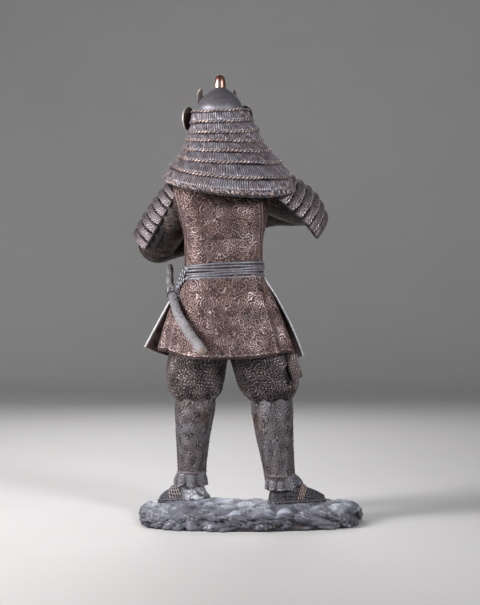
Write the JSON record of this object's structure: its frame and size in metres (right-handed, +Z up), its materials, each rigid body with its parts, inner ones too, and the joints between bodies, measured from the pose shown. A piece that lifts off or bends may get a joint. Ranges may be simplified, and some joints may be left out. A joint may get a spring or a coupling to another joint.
{
  "type": "samurai statue",
  "caption": "Table-top bronze of a samurai in a wide neck-guard helmet and flared coat, standing on a rock base with a drawn sword and a scabbard at the left hip.",
  "frame": {"origin": "middle of the rock base's flat underside, on the surface that it stands on", "axes": "+Z up; -Y is the way the samurai faces; +X is the samurai's left-hand side"},
  "size_m": [0.2447, 0.2362, 0.4825],
  "materials": {
    "bronze": "dark brown and grey patina over cast bronze, rubbed to copper on the raised edges",
    "rock": "blue-grey patina over cast bronze, silvery on the edges with brown stains",
    "scabbard": "light grey patina over cast bronze",
    "blade": "polished grey metal with a darker grip"
  },
  "bodies": {
    "root": {"samurai_figure": "bronze", "rock_base": "rock", "scabbard": "scabbard", "katana": "blade"}
  },
  "joints": []
}
